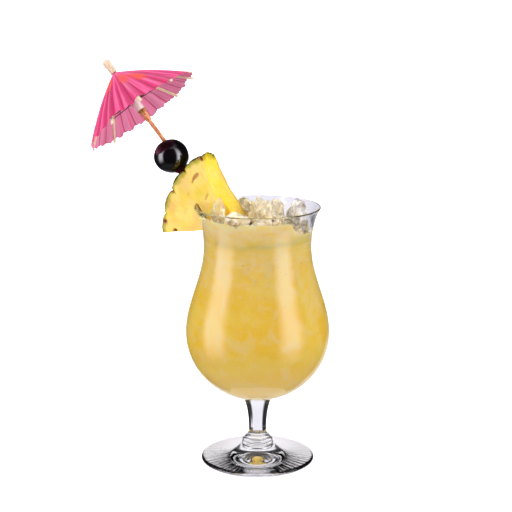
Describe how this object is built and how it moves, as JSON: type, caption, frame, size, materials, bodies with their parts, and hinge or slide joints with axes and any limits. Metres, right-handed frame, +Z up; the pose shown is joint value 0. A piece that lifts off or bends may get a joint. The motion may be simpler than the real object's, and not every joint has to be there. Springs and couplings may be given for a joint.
{
  "type": "colada cocktail",
  "caption": "Footed tulip glass of iced golden cocktail, with a pineapple wedge on its rim and a pleated paper parasol pick through a dark cherry.",
  "frame": {"origin": "middle of the flat underside of the glass's foot", "axes": "+Z up along the glass's axis; the pineapple wedge and the parasol are on the -X side; the picture looks along +Y"},
  "size_m": [0.1426, 0.1075, 0.2387],
  "materials": {
    "glass": "clear pressed soda-lime glass",
    "drink": "still, cloudy golden-yellow liquid with crushed ice in it",
    "ice": "wet cracked ice with cloudy middles",
    "pineapple": "wet fibrous pale yellow flesh with an olive and brown rind",
    "cherry": "glossy near-black preserved cherry",
    "stained_wood": "orange-brown stained softwood stick",
    "rolled_paper": "cream rolled paper",
    "card": "pale pink card sleeve",
    "tissue_paper": "pleated pink tissue paper with painted orange patches",
    "rib_wood": "pale split-bamboo strip",
    "stretcher_card": "thin card strip, dark along its cut edges"
  },
  "bodies": {
    "root": {"glass": "glass", "drink": "drink", "ice_pointed": "ice", "ice_behind_wedge": "ice", "ice_back_right": "ice", "ice_right": "ice", "ice_front_left": "ice", "ice_shard": "ice", "ice_right_wall": "ice", "ice_back": "ice", "ice_far_right": "ice", "ice_front": "ice", "pineapple_wedge": "pineapple", "cherry": "cherry", "parasol_stick": "stained_wood", "parasol_finial": "rolled_paper", "parasol_collar": "card", "parasol_collar_ring": "rolled_paper", "parasol_stop": "stained_wood", "parasol_canopy": "tissue_paper", "parasol_rib_1": "rib_wood", "parasol_rib_2": "rib_wood", "parasol_rib_3": "rib_wood", "parasol_rib_4": "rib_wood", "parasol_rib_5": "rib_wood", "parasol_rib_6": "rib_wood", "parasol_rib_7": "rib_wood", "parasol_rib_8": "rib_wood", "parasol_rib_9": "rib_wood", "parasol_rib_10": "rib_wood", "parasol_stretcher_1": "stretcher_card", "parasol_stretcher_2": "stretcher_card", "parasol_stretcher_3": "stretcher_card", "parasol_stretcher_4": "stretcher_card", "parasol_stretcher_5": "stretcher_card", "parasol_stretcher_6": "stretcher_card", "parasol_stretcher_7": "stretcher_card", "parasol_stretcher_8": "stretcher_card", "parasol_stretcher_9": "stretcher_card", "parasol_stretcher_10": "stretcher_card"}
  },
  "joints": []
}
